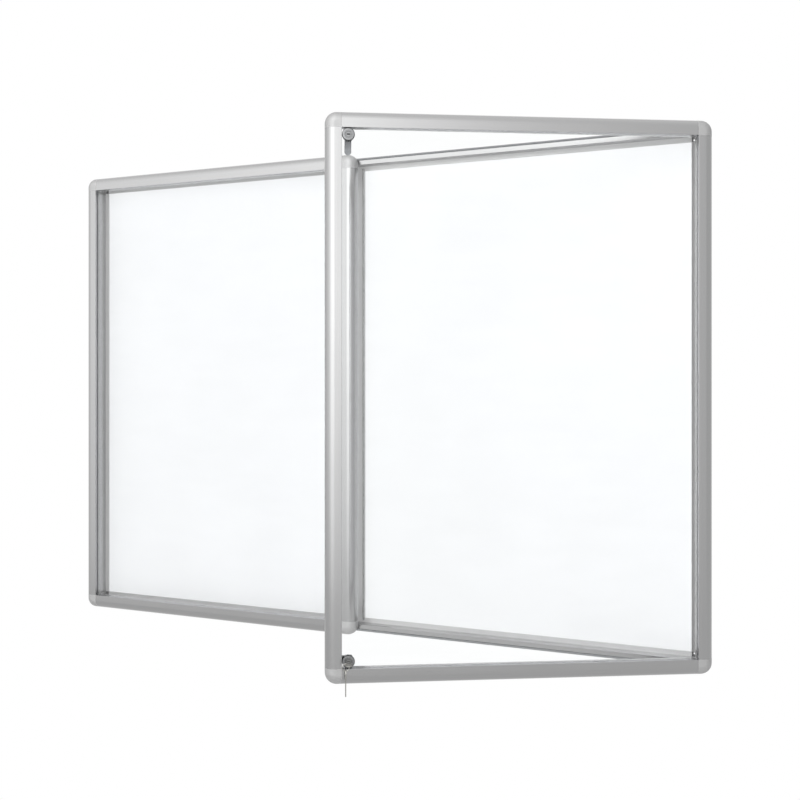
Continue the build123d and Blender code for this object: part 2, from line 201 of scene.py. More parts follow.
# %% Small metal hardware
def plated_metal(name, dark, light, smooth, rough, cell):
    material, tree = new_material(name)
    # Plating grain, drawn a few times wider than real so that it breaks up the mirror.
    grain = pattern(tree, (cell, cell, cell), 3.0)
    scratches = pattern(tree, (0.006, 0.0003, 0.0003), 2.0, 0.6)
    bump = add_node(tree, "Bump", {"Strength": 0.15, "Distance": 0.00005, "Height": scratches})
    shader = add_node(tree, "BsdfPrincipled", {
        "Base Color": shades(tree, grain, dark, light), "Metallic": 1.0,
        "Roughness": spread(tree, scratches, smooth, rough), "Normal": bump.outputs[0]})
    add_node(tree, "OutputMaterial", {"Surface": shader.outputs[0]})
    return material


nickel = plated_metal("satin_nickel_plate", "#7F8081", "#898A8B", 0.22, 0.32, 0.0012)
key_nickel = plated_metal("nickel_silver_key", "#949390", "#A8A7A2", 0.2, 0.32, 0.0012)
zinc = plated_metal("passivated_zinc", "#6F7173", "#7A7C7E", 0.3, 0.4, 0.0015)
pin_steel = plated_metal("ground_steel", "#86888A", "#A0A2A3", 0.18, 0.3, 0.001)

# %% [markdown]
# ## Moulded plastic, nylon and rubber
#
# The corner pieces are ABS in silver grey: the pigment holds metal flakes, so they shine a little like
# the bars beside them but softer, over the fine pitted texture of an eroded mould.  The bushes are black
# nylon, the washers white nylon, the seals soft rubber.  The channels round the panels wear a satin silver
# lacquer, which holds flakes as well.  Each is a pair of close tones, a roughness and a small relief.


# %% Moulded materials
def moulded(name, dark, light, roughness, pit, relief, metallic=0.0):
    material, tree = new_material(name)
    # Pits of an eroded mould are about 0.1 mm.  They are drawn at the given size so that they show.
    pits = pattern(tree, (pit, pit, pit), 3.0)
    # The gloss drifts a little over every 20 mm or so, as the melt or the paint flowed.
    flow = pattern(tree, (0.02, 0.02, 0.02), 1.0)
    drift = 0.04
    bump = add_node(tree, "Bump", {"Strength": relief, "Distance": 0.0001, "Height": pits})
    shader = add_node(tree, "BsdfPrincipled", {
        "Base Color": shades(tree, pits, dark, light), "Metallic": metallic,
        "Roughness": spread(tree, flow, roughness - drift, roughness + drift), "Normal": bump.outputs[0]})
    add_node(tree, "OutputMaterial", {"Surface": shader.outputs[0]})
    return material


silver_abs = moulded("silver_grey_abs", "#ADADAD", "#B4B4B4", 0.46, 0.0006, 0.25, metallic=0.65)
channel_lacquer = moulded("satin_silver_lacquer", "#C0C0C0", "#C6C6C6", 0.4, 0.0006, 0.15, metallic=0.5)
black_nylon = moulded("black_nylon", "#1B1B1C", "#2A2A2B", 0.5, 0.0008, 0.3)
white_nylon = moulded("white_nylon", "#D4D4CC", "#E4E4DD", 0.45, 0.0008, 0.2)
gasket_rubber = moulded("glazing_rubber", "#626465", "#747677", 0.62, 0.001, 0.4)
seal_rubber = moulded("seal_rubber", "#787A7C", "#848688", 0.6, 0.001, 0.4)
# The bezel rubber's dark grey is painted shade for the gap between the lock head and the glass.
shade_ring_rubber = moulded("shade_ring_rubber", "#343536", "#424344", 0.6, 0.0008, 0.3)

# %% [markdown]
# ## White enamel and fibreboard
#
# The notice panels are steel sheet with white stove enamel, so that magnets hold.  Enamel flows into a
# very shallow orange peel before it sets, and it gives soft, low reflections.  The board behind is
# pressed wood fibre, which shows only from the rear.


# %% Stove enamel
def stove_enamel(name):
    material, tree = new_material(name)
    # Orange peel has waves of about 3 mm.
    peel = pattern(tree, (0.003, 0.003, 0.003), 1.0)
    cloud = pattern(tree, (0.2, 0.2, 0.2), 2.0)
    bump = add_node(tree, "Bump", {"Strength": 0.06, "Distance": 0.0001, "Height": peel})
    shader = add_node(tree, "BsdfPrincipled", {
        "Base Color": shades(tree, cloud, "#F3F4F5", "#F5F6F7"),
        "Roughness": spread(tree, cloud, 0.4, 0.46), "Normal": bump.outputs[0]})
    add_node(tree, "OutputMaterial", {"Surface": shader.outputs[0]})
    return material


# %% Pressed wood fibre
def wood_fibre(name):
    material, tree = new_material(name)
    # Fibre bundles are about 4 mm long and 0.5 mm wide, in every direction.
    fibres = pattern(tree, (0.004, 0.0005, 0.0008), 4.0)
    crossing = pattern(tree, (0.0008, 0.0005, 0.004), 4.0, 0.3)
    mixed = add_node(tree, "Math", {0: fibres, 1: crossing}, operation="MAXIMUM").outputs[0]
    bump = add_node(tree, "Bump", {"Strength": 0.4, "Distance": 0.0002, "Height": mixed})
    shader = add_node(tree, "BsdfPrincipled", {
        "Base Color": shades(tree, mixed, "#7C6146", "#A3835F", 0.4, 0.7), "Roughness": 0.78,
        "Normal": bump.outputs[0]})
    add_node(tree, "OutputMaterial", {"Surface": shader.outputs[0]})
    return material


white_enamel = stove_enamel("white_stove_enamel")
fibreboard = wood_fibre("pressed_fibreboard")

# %% [markdown]
# ## Toughened glass
#
# Clear float glass is almost colourless looking through 4 mm, with a trace of green that iron gives it.
# The physical shader bends and mirrors light as glass does.  It would also cast a dark shadow, because
# its caustics are too faint to gather, so shadow rays, diffuse rays and rays off a metal see a plain
# transparent tint instead.


# %% Glass
def toughened_glass(name):
    material, tree = new_material(name)
    # Wiping marks, a hand wide: they only change the tint by a trace.
    wipes = pattern(tree, (0.09, 0.09, 0.02), 2.0)
    shader = add_node(tree, "BsdfPrincipled", {"Base Color": shades(tree, wipes, "#FDFEFE", "#FEFFFF"),
                                               "Transmission Weight": 1.0, "IOR": 1.5, "Roughness": 0.0})
    clear = add_node(tree, "BsdfTransparent", {"Color": linear("#FDFDFE")})
    path = add_node(tree, "LightPath")
    lights = add_node(tree, "Math", {0: path.outputs["Is Shadow Ray"], 1: path.outputs["Is Diffuse Ray"]},
                      operation="MAXIMUM").outputs[0]
    # A ray inside the glass counts as glossy and as transmission, a ray off a metal only as glossy.
    mirrors = add_node(tree, "Math", {0: path.outputs["Is Glossy Ray"],
                                      1: path.outputs["Is Transmission Ray"]},
                       operation="GREATER_THAN").outputs[0]
    plain = add_node(tree, "Math", {0: lights, 1: mirrors}, operation="MAXIMUM").outputs[0]
    mix = add_node(tree, "MixShader", {0: plain, 1: shader.outputs[0], 2: clear.outputs[0]})
    add_node(tree, "OutputMaterial", {"Surface": mix.outputs[0]})
    return material


# %% Every node gets the finish of its slot
finishes = {
    "anodised_aluminium": aluminium_rail, "corner_plastic": silver_abs,
    "clear_glass": toughened_glass("toughened_glass"), "gasket_rubber": gasket_rubber,
    "seal_rubber": seal_rubber, "white_enamelled_steel": white_enamel, "fibreboard": fibreboard,
    "black_nylon": black_nylon, "white_nylon": white_nylon, "pin_steel": pin_steel,
    "nickel_lock": nickel, "zinc_steel": zinc, "key_nickel": key_nickel,
}


def finish_of(node):
    """The material of a node.  Bars take the aluminium that runs along them, the channels the lacquer."""
    if slot_of[node] != "anodised_aluminium":
        return finishes[slot_of[node]]
    if node == "panel_channels":
        return channel_lacquer
    if "stile" in node or "joint" in node:
        return aluminium_stile
    return aluminium_open_rail if node.startswith("right_door") else aluminium_rail


for node in slot_of:
    frame["nodes"][node].data.materials.clear()
    frame["nodes"][node].data.materials.append(finish_of(node))
print(len(finishes), "finishes")

# %% [markdown]
# ## Helpers for shapes
#
# Pieces are drawn in millimetres in the space of the closed right door: x runs from the middle of the
# board to the hinge, y is the depth behind the door's face and z is up.  A finished shape is then moved
# to the wall, or mirrored to the left door, or swung open about the hinge, all in its mesh, so that every
# object sits at the origin.

# %% Boxes, turned shapes and carving
# The glass lies 6.5 mm behind the door's face, so its front tells how deep the board is.
glass_front = 6.5
board_depth = (solid_high[1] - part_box("left_door_pane")[0][1]) / MM + glass_front
scene_objects = bpy.context.scene.collection.objects
# In millimetres: points this close become one, and an edge this near to a place lies there.
weld = 0.0005
near = 0.01
# Edges that turn by more than this many degrees count as sharp.
sharp_turn = 35.0


def box_shape(low, high):
    """A box between two opposite corners."""
    shape = bmesh.new()
    bmesh.ops.create_cube(shape, size=1.0)
    low, high = Vector(low), Vector(high)
    bmesh.ops.scale(shape, vec=high - low, verts=shape.verts)
    bmesh.ops.translate(shape, vec=(low + high) / 2, verts=shape.verts)
    return shape


def turned(profile, closed, steps=96):
    """Spin (radius, depth) points about the y axis, as a lathe does."""
    shape = bmesh.new()
    verts = [shape.verts.new((radius, depth, 0)) for radius, depth in profile]
    pairs = list(zip(verts, verts[1:])) + ([(verts[-1], verts[0])] if closed else [])
    edges = [shape.edges.new(pair) for pair in pairs]
    bmesh.ops.spin(shape, geom=verts + edges, cent=(0, 0, 0), axis=(0, 1, 0), angle=2 * math.pi,
                   steps=steps, use_merge=True)
    bmesh.ops.remove_doubles(shape, verts=shape.verts, dist=weld)
    bmesh.ops.recalc_face_normals(shape, faces=shape.faces)
    return shape


def carved(shape, cutter, operation="DIFFERENCE"):
    """The shape with another one taken away or joined on."""
    pair = []
    for bm in (shape, cutter):
        mesh = bpy.data.meshes.new("carving")
        bm.to_mesh(mesh)
        bm.free()
        pair.append(bpy.data.objects.new("carving", mesh))
        scene_objects.link(pair[-1])
    cut = pair[0].modifiers.new("cut", "BOOLEAN")
    cut.object = pair[1]
    cut.operation = operation
    cut.solver = "EXACT"
    result = bmesh.new()
    result.from_object(pair[0], bpy.context.evaluated_depsgraph_get())
    for helper in pair:
        mesh = helper.data
        bpy.data.objects.remove(helper)
        bpy.data.meshes.remove(mesh)
    bmesh.ops.remove_doubles(result, verts=result.verts, dist=weld)
    return result


def joined(*shapes):
    """Several shapes in one bmesh."""
    whole = bmesh.new()
    for shape in shapes:
        mesh = bpy.data.meshes.new("joining")
        shape.to_mesh(mesh)
        shape.free()
        whole.from_mesh(mesh)
        bpy.data.meshes.remove(mesh)
    return whole


def moved(shape, by, turn=0.0, axis="Y"):
    """Turn a shape about an axis through the origin, then shift it."""
    bmesh.ops.rotate(shape, cent=(0, 0, 0), matrix=Matrix.Rotation(turn, 3, axis), verts=shape.verts)
    bmesh.ops.translate(shape, vec=by, verts=shape.verts)
    return shape


def bevelled(shape, edges, radius, segments, clamp=False):
    """Round the given edges."""
    bmesh.ops.bevel(shape, geom=edges, offset=radius, offset_type="OFFSET", affect="EDGES",
                    segments=segments, profile=0.5, material=-1, clamp_overlap=clamp)
    return shape


def rounded(shape, radius, segments=2):
    """Round the sharp edges."""
    edges = [edge for edge in shape.edges if len(edge.link_faces) == 2
             and edge.calc_face_angle() > math.radians(sharp_turn)]
    return bevelled(shape, edges, radius, segments, clamp=True)


def lies_at(edge, axis, place):
    """Whether an edge lies at a place along x, y or z, which are 0, 1 and 2."""
    return all(abs(vert.co[axis] - place) < near for vert in edge.verts)


# %% From a shape to a piece
# Shading turns smoothly over an edge up to this many degrees, on a piece with curves and on flat bars.
curved_piece, flat_bars = 40, 15


def to_wall(shape):
    """From depths behind the door's face to depths in front of the wall."""
    bmesh.ops.translate(shape, vec=(0, -board_depth, 0), verts=shape.verts)
    return shape


def on_door(shape, side):
    """Move a shape from the closed right door to the left door or to the open right door."""
    to_wall(shape)
    if side == "left":
        bmesh.ops.scale(shape, vec=(-1, 1, 1), verts=shape.verts)
        bmesh.ops.recalc_face_normals(shape, faces=shape.faces)
    else:
        bmesh.ops.rotate(shape, cent=hinge, matrix=Matrix.Rotation(opening, 3, "Z"), verts=shape.verts)
    return shape


def add_piece(name, shape, *nodes, material=None, smooth=curved_piece):
    """Make a shape in millimetres the piece that stands for these nodes.  Edges sharper than smooth show."""
    bmesh.ops.scale(shape, vec=(MM, MM, MM), verts=shape.verts)
    mesh = bpy.data.meshes.new(name)
    shape.to_mesh(mesh)
    shape.free()
    mesh.shade_smooth()
    mesh.set_sharp_from_angle(angle=math.radians(smooth))
    mesh.materials.append(material or finish_of(nodes[0]))
    piece = bpy.data.objects.new(name, mesh)
    scene_objects.link(piece)
    piece.modifiers.new("flat_faces_stay_flat", "WEIGHTED_NORMAL").keep_sharp = True
    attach(piece, body_of[nodes[0]])
    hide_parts(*nodes)
    return piece


def merged_copy(node):
    """A copy of a node's mesh in millimetres, with its triangles merged into whole faces."""
    shape = bmesh.new()
    shape.from_mesh(frame["nodes"][node].data)
    bmesh.ops.scale(shape, vec=(1 / MM, 1 / MM, 1 / MM), verts=shape.verts)
    bmesh.ops.remove_doubles(shape, verts=shape.verts, dist=2 * weld)
    bmesh.ops.dissolve_limit(shape, angle_limit=math.radians(0.5), verts=shape.verts, edges=shape.edges)
    return shape


# %% [markdown]
# ## Door bars
#
# Each door has two rails and two stiles cut from one extrusion: a long outer rounding of 17 mm radius, a
# flat band, a nose in front of the glass and a limb behind it.  The rounding makes the bright line that
# runs along every bar, so it has to be a true arc.  The section is drawn as one face, pushed along its
# length, and its long edges are bevelled: the outer one in many steps, the others just broken.

# %% Sizes of the door's section
door_face = 29.5
door_depth = 22.0
door_round = 17.0
nose_depth = 6.0
nose_wall = 1.6
groove_bottom = 20.5
groove_back = 10.8
limb_reach = 29.0
free_edge = 1.5
half_width = 700.0
half_height = 500.0
# Steps in the long rounding of a bar, in the same rounding on a cap, and in a broken edge.
bar_steps, cap_steps, broken_steps = 24, 20, 3


def door_bar(length):
    """A bar of the door's section that stands on z, with its outer edge at x = 0."""
    shape = bmesh.new()
    section = [(0, 0), (door_face, 0), (door_face, nose_depth), (door_face - nose_wall, nose_depth),
               (door_face - nose_wall, nose_wall), (groove_bottom, nose_wall), (groove_bottom, groove_back),
               (limb_reach, groove_back), (limb_reach, door_depth), (0, door_depth)]
    face = shape.faces.new([shape.verts.new((x, y, -length / 2)) for x, y in section])
    grown = bmesh.ops.extrude_face_region(shape, geom=[face])["geom"]
    top = [item for item in grown if isinstance(item, bmesh.types.BMVert)]
    bmesh.ops.translate(shape, vec=(0, 0, length), verts=top)
    bmesh.ops.recalc_face_normals(shape, faces=shape.faces)
    outer = [(0, 0, door_round, bar_steps)]
    broken = [(door_face, 0, 0.5, broken_steps), (door_face, nose_depth, 0.35, broken_steps),
              (limb_reach, groove_back, 0.35, broken_steps), (limb_reach, door_depth, 0.5, broken_steps),
              (0, door_depth, 0.6, broken_steps)]
    for x, y, radius, steps in outer + broken:
        along = [e for e in shape.edges if e.is_manifold and lies_at(e, 0, x) and lies_at(e, 1, y)]
        bevelled(shape, along, radius, steps)
    return shape


# %% The four bars of each door
rail_length = half_width - free_edge - 2 * door_face
stile_length = 2 * half_height - 2 * door_face
rail_middle = (half_width + free_edge) / 2
# Each bar's length, its turn about y and the place of its outer edge.
bar_places = {
    "door_top_rail": (rail_length, math.pi / 2, (rail_middle, 0, half_height)),
    "door_bottom_rail": (rail_length, -math.pi / 2, (rail_middle, 0, -half_height)),
    "door_free_stile": (stile_length, 0.0, (free_edge, 0, 0)),
    "door_hinge_stile": (stile_length, math.pi, (half_width, 0, 0)),
}
for side in ("left", "right"):
    for bar_name, (length, turn, place) in bar_places.items():
        node = side + "_" + bar_name
        add_piece(node + "_extrusion", on_door(moved(door_bar(length), place, turn), side), node)
print("door bars", rail_length, "and", stile_length, "mm")

# %% [markdown]
# ## Door corners
#
# A moulded cap joins the bars at each corner.  Its outline turns with a radius of 21 mm and the rounding
# of the bars runs round it, which a cube with two bevels gives: first the edge that runs back, then the
# front rim.  A small rounding towards the bars makes the seam.  The hinge corners carry an arm that
# reaches back to the pin.

# %% One cap
corner_radius = 21.0
seam = 0.3


def door_cap():
    """A corner cap with its outer corner at x = z = 0."""
    shape = box_shape((0, 0, 0), (door_face, door_depth, door_face))
    bevelled(shape, [e for e in shape.edges if lies_at(e, 0, 0) and lies_at(e, 2, 0)], corner_radius,
             bar_steps)
    rim = [e for e in shape.edges if lies_at(e, 1, 0) and not lies_at(e, 0, door_face)
           and not lies_at(e, 2, door_face)]
    bevelled(shape, rim, door_round, cap_steps)
    bmesh.ops.remove_doubles(shape, verts=shape.verts, dist=2 * weld)
    bmesh.ops.recalc_face_normals(shape, faces=shape.faces)
    ends = [e for e in shape.edges for end, other in ((0, 2), (2, 0))
            if lies_at(e, end, door_face) and max(v.co[other] for v in e.verts) < door_face - near]
    bevelled(shape, ends, seam, 2, clamp=True)
    past = door_face + 1
    return carved(shape, box_shape((groove_bottom, nose_depth, groove_bottom), (past, groove_back, past)))


# %% The hinge arm
arm_width = 7.2
arm_low = 12.8
arm_height = 6.4
pin_inset = 11.0
pin_depth = 37.5
pin_radius = 2.0
pin_play = 0.05
arm_root = 0.5
eye_steps = 64


def hinge_arm():
    """An arm with a round eye, drawn at the low hinge corner of the closed right door."""
    inside, outside = pin_radius + pin_play, arm_width / 2
    eye = moved(turned([(inside, 0), (outside, 0), (outside, arm_height), (inside, arm_height)], True,
                       eye_steps), (0, 0, 0), math.pi / 2, "X")
    web = box_shape((-outside, door_depth - arm_root - pin_depth, 0), (outside, 0, arm_height))
    bore = moved(turned([(0, -1), (inside, -1), (inside, arm_height + 1), (0, arm_height + 1)], False,
                        eye_steps), (0, 0, 0), math.pi / 2, "X")
    arm = carved(carved(web, eye, "UNION"), bore)
    return moved(rounded(arm, 0.4), (half_width - pin_inset, pin_depth, arm_low - half_height))


# %% Caps on both doors
# Each cap's turn about y and the x and z of its outer corner.
cap_places = {
    "door_bottom_free_corner": (0.0, free_edge, -half_height),
    "door_bottom_hinge_corner": (-math.pi / 2, half_width, -half_height),
    "door_top_hinge_corner": (math.pi, half_width, half_height),
    "door_top_free_corner": (math.pi / 2, free_edge, half_height),
}
for side in ("left", "right"):
    for cap_name, (turn, x, z) in cap_places.items():
        cap = moved(door_cap(), (x, 0, z), turn)
        if "hinge" in cap_name:
            arm = hinge_arm()
            if z > 0:
                bmesh.ops.scale(arm, vec=(1, 1, -1), verts=arm.verts)
                bmesh.ops.recalc_face_normals(arm, faces=arm.faces)
            cap = joined(cap, arm)
        node = side + "_" + cap_name
        add_piece(node + "_cap", on_door(cap, side), node)
print("corner caps", len(cap_places) * 2)

# %% [markdown]
# ## The case
#
# The case is a box section all round, with corner blocks, a channel that holds the panels, and a soft
# seal on its front face.  The frame's own shapes are right, but their edges are mathematically sharp,
# and a sharp edge never catches light.  So each is copied, its triangles are merged into whole faces, and
# its edges are broken by a few tenths of a millimetre, as sawing, moulding and anodising leave them.  The
# seal is soft, so its edges are rounder.

# %% Case pieces with broken edges
# Each node's edge radius in millimetres and the steps in it.
case_edges = {
    "case_top_rail": (0.35, 2), "case_bottom_rail": (0.35, 2), "case_left_stile": (0.35, 2),
    "case_right_stile": (0.35, 2), "panel_channels": (0.3, 2), "panel_joint_cover": (0.5, 3),
    "panel_joint_bar": (0.3, 2), "dust_seal": (1.2, 4), "wall_fixing_bushes": (0.4, 2),
    "case_corner_top_left": (0.4, 2), "case_corner_top_right": (0.4, 2),
    "case_corner_bottom_left": (0.4, 2), "case_corner_bottom_right": (0.4, 2),
}
for node, (edge_radius, edge_steps) in case_edges.items():
    # Bars, channels and seals have flat sides only, so each of their faces keeps its own direction.
    piece = add_piece(node + "_broken_edges", rounded(merged_copy(node), edge_radius, edge_steps), node,
                      smooth=curved_piece if "corner" in node or "bushes" in node else flat_bars)
    print(piece.name, len(piece.data.polygons), "faces")

# %% [markdown]
# ## Flange of the joint cover
#
# The rib over the joint of the panels stands on a thin flange, which hides the edge of the left sheet.  It
# could be one extrusion with the rib.  As a strip of its own that reaches a little into the rib it needs
# no cutting, and it takes the lacquer of the channels.

# %% A strip beside the rib
flange_width, flange_thickness, flange_edge, flange_lap = 17.0, 0.8, 0.3, 0.2
rib_low, rib_high = (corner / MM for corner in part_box("panel_joint_cover"))
sheet_front = (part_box("left_panel_face")[0] / MM).y
flange = box_shape((rib_low.x - flange_width, sheet_front - flange_thickness, rib_low.z),
                   (rib_low.x + flange_lap, sheet_front, rib_high.z))
add_piece("joint_cover_flange", rounded(flange, flange_edge), "panel_joint_cover", material=channel_lacquer)
print("rib", [round(v, 1) for v in rib_low], [round(v, 1) for v in rib_high])
print("sheet front", round(sheet_front, 1))

# %% [markdown]
# ## Hinges
#
# Four ground pins stand in the case corners and pass through the arms.  Thin nylon washers keep the
# plastic from rubbing.  Both are turned parts, so they are spun from a short profile with chamfers.

# %% Pins and washers
pin_low, pin_length, pin_chamfer = 8.0, 18.0, 0.4
washer_outer, washer_inner, washer_thickness, washer_chamfer, washer_lift = 3.9, 2.15, 0.6, 0.1, 0.1
slot_low, slot_height = 12.0, 8.0


def chamfered(inner, outer, length, chamfer):
    """The profile of a pin or a washer, from its top at 0 downwards."""
    return [(inner, 0), (outer - chamfer, 0), (outer, -chamfer), (outer, chamfer - length),
            (outer - chamfer, -length), (inner, -length)]


def upright(profile, closed, place):
    """A turned shape that stands on z at a place."""
    return moved(turned(profile, closed, eye_steps), place, -math.pi / 2, "X")


pin_profile = chamfered(0, pin_radius, pin_length, pin_chamfer)
washer_profile = chamfered(washer_inner, washer_outer, washer_thickness, washer_chamfer)
pins = []
washers = []
for x in (pin_inset - half_width, half_width - pin_inset):
    for up in (-1, 1):
        low = up * (half_height - pin_low) - (pin_length if up > 0 else 0)
        pins.append(upright(pin_profile, False, (x, pin_depth, low)))
        for lift in (washer_lift, slot_height - washer_lift - washer_thickness):
            from_end = slot_low + lift
            level = from_end - half_height if up < 0 else half_height - from_end - washer_thickness
            washers.append(upright(washer_profile, True, (x, pin_depth, level)))
add_piece("ground_hinge_pins", to_wall(joined(*pins)), "hinge_pins")
add_piece("nylon_hinge_washers", to_wall(joined(*washers)), "hinge_washers")
print(len(pins), "pins and", len(washers), "washers")

# %% [markdown]
# ## Cam locks
#
# Each lock is a turned and nickel-plated body whose flat head sits on the glass, a plug with the keyway,
# a hexagon nut behind the glass, and a cranked cam held by a screw.  The head has a turned groove round
# the plug, which breaks its mirror into bright and dark rings, and a dark rubber bezel that seals it on
# the glass; the bezel's dark colour is painted shade for the gap between head and glass.  A black
# shutter closes each keyway that holds no key, and its black is painted shade for the keyway's depth.

# %% Lock bodies
lock_x = 42.5
lock_z = 459.0
head_front = 2.5
barrel_end = 25.0
plug_radius, plug_play = 5.0, 0.05
bezel_inner, bezel_outer = 10.2, 11.2
thread_outer, thread_inner, thread_pitch, thread_start = 8.0, 7.45, 1.5, 4.2


def lock_shade_ring():
    """The dark rubber ring round the head, whose front slopes back towards the glass.  Its dark colour is
    painted shade for the gap between head and glass.
    """
    return turned([(bezel_inner, head_front + 0.2), (bezel_inner + 0.2, head_front + 0.1),
                   (bezel_outer - 0.3, head_front + 0.7), (bezel_outer, head_front + 1.2),
                   (bezel_outer, glass_front), (bezel_inner, glass_front)], True)


def lock_body():
    """Head with its groove and threaded barrel, about the y axis."""
    bore = plug_radius + plug_play
    profile = [(bore, head_front + 0.45), (bore + 0.3, head_front + 0.1), (6.3, head_front + 0.1),
               (6.5, head_front + 0.3), (6.9, head_front + 0.3), (7.1, head_front), (9.7, head_front),
               (bezel_inner, head_front + 0.15), (bezel_inner, glass_front), (thread_outer, glass_front)]
    depth = glass_front + thread_start
    while depth < barrel_end - thread_pitch:
        profile += [(thread_outer, depth), (thread_inner, depth + 0.6), (thread_inner, depth + 0.8),
                    (thread_outer, depth + 1.4)]
        depth += thread_pitch
    profile += [(7.7, barrel_end), (bore, barrel_end)]
    return turned(profile, True)


# %% Plug and keyway flap, whose black is painted shade
plug_front, plug_chamfer, milled_edge = head_front + 0.3, 0.35, 0.25
# Half the keyway's width and height, and where it ends.
keyway_x, keyway_z, keyway_end = 3.1, 1.3, 22.7
tail_half, tail_start, tail_end, screw_bore = 3.5, barrel_end - 0.5, barrel_end + 1.9, 2.1
shutter_front, shutter_thickness, shutter_play, shutter_edge = head_front + 0.6, 0.6, 0.05, 0.15


def lock_plug():
    """Plug with its keyway and the square tail for the cam."""
    profile = [(0, plug_front), (plug_radius - plug_chamfer, plug_front),
               (plug_radius, plug_front + plug_chamfer), (plug_radius, barrel_end), (0, barrel_end)]
    plug = turned(profile, False)
    keyway = box_shape((-keyway_x, plug_front - 1, -keyway_z), (keyway_x, keyway_end, keyway_z))
    plug = carved(plug, rounded(keyway, milled_edge))
    tail = box_shape((-tail_half, tail_start, -tail_half), (tail_half, tail_end, tail_half))
    screw_hole = turned([(0, 20), (screw_bore, 20), (screw_bore, 30), (0, 30)], False, 48)
    return joined(plug, carved(rounded(tail, milled_edge), screw_hole))


def keyway_shade_flap():
    """The sprung black flap that closes the keyway behind its mouth while no key is in it.  Its black is
    painted shade for the depth of the keyway.
    """
    x, z = keyway_x - shutter_play, keyway_z - shutter_play
    flap = box_shape((-x, shutter_front, -z), (x, shutter_front + shutter_thickness, z))
    return rounded(flap, shutter_edge)


# %% Nut
nut_flats, nut_height, pane_thickness = 20.0, 4.5, 4.0


def lock_nut():
    """A hexagon nut with turned corners, one corner down."""
    shape = bmesh.new()
    bmesh.ops.create_circle(shape, cap_ends=True, segments=6, radius=nut_flats / math.sqrt(3))
    bmesh.ops.rotate(shape, cent=(0, 0, 0), matrix=Matrix.Rotation(math.pi / 2, 3, "X"), verts=shape.verts)
    bmesh.ops.rotate(shape, cent=(0, 0, 0), matrix=Matrix.Rotation(math.pi / 6, 3, "Y"), verts=shape.verts)
    grown = bmesh.ops.extrude_face_region(shape, geom=shape.faces[:])["geom"]
    back = [item for item in grown if isinstance(item, bmesh.types.BMVert)]
    bmesh.ops.translate(shape, vec=(0, nut_height, 0), verts=back)
    bmesh.ops.recalc_face_normals(shape, faces=shape.faces)
    lathe = turned([(0, -0.5), (9.9, -0.5), (11.9, 0.9), (11.9, 3.6), (9.9, 5.0), (0, 5.0)], False, 72)
    nut = carved(shape, lathe, "INTERSECT")
    bore = turned([(0, -1), (9.0, -1), (8.1, 0.5), (8.1, 4.0), (9.0, 5.5), (0, 5.5)], False, 72)
    nut = carved(nut, bore)
    return moved(nut, (0, glass_front + pane_thickness, 0))


# %% Bodies, plugs and nuts in both doors
keyed_lock = ("right", "bottom")
for side in ("left", "right"):
    for level, z in (("top", lock_z), ("bottom", -lock_z)):
        node, place = side + "_" + level + "_lock_", (lock_x, 0, z)
        add_piece(node + "turned_body", on_door(moved(lock_body(), place), side), node + "body")
        # The dark rubber ring is painted shade round each lock head.
        add_piece(node + "rubber_shade_ring", on_door(moved(lock_shade_ring(), place), side), node + "body",
                  material=shade_ring_rubber)
        add_piece(node + "turned_plug", on_door(moved(lock_plug(), place), side), node + "plug")
        if (side, level) != keyed_lock:
            # An empty keyway gets the black flap, whose black is painted shade for its depth.
            add_piece(node + "keyway_shade_flap", on_door(moved(keyway_shade_flap(), place), side), node + "plug",
                      material=black_nylon)
    nuts = joined(*[moved(lock_nut(), (lock_x, 0, z)) for z in (-lock_z, lock_z)])
    add_piece(side + "_lock_hexagon_nuts", on_door(nuts, side), side + "_door_lock_nuts")
print("locks at", lock_x, "mm from the middle and", lock_z, "mm up and down")

# %% [markdown]
# ## Cams, screws and keys
#
# These are pressed, punched or milled from sheet and bar.  Their outlines are in the frame already, so
# copies with broken edges are enough.  A punched key is tumbled smooth, so its edges turn in more steps
# than those of a cam, and a small screw has the finest edges.

# %% Cams and screws
pressed_edge, screw_edge, tumbled_edge = 0.3, 0.15, 0.3
for side in ("left", "right"):
    for level in ("top", "bottom"):
        cam = side + "_" + level + "_lock_cam"
        screw = side + "_" + level + "_cam_screw"
        add_piece(cam + "_pressed", rounded(merged_copy(cam), pressed_edge), cam)
        add_piece(screw + "_turned", rounded(merged_copy(screw), screw_edge), screw)

# %% Keys
for node in ("key_in_lock", "spare_key"):
    key = add_piece(node + "_punched", rounded(merged_copy(node), tumbled_edge, 3), node)
    print(key.name, len(key.data.polygons), "faces")

# %% [markdown]
# ## Split ring
#
# A key ring is spring wire wound twice, so a key can be fed in between the two turns.  A screw sweep does
# it: the flat wire's section is spun by two turns while it climbs by its own thickness per turn.

# %% Two turns of flat wire
ring_low, ring_high = (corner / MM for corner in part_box("key_ring"))
ring_middle = (ring_low + ring_high) / 2
ring_outer = (ring_high.z - ring_low.z) / 2
wire = 1.4
# The climb of each turn, the height of the middle between both, and the steps in a turn.
climb, coil_middle, turn_steps = 0.68, 0.64, 96


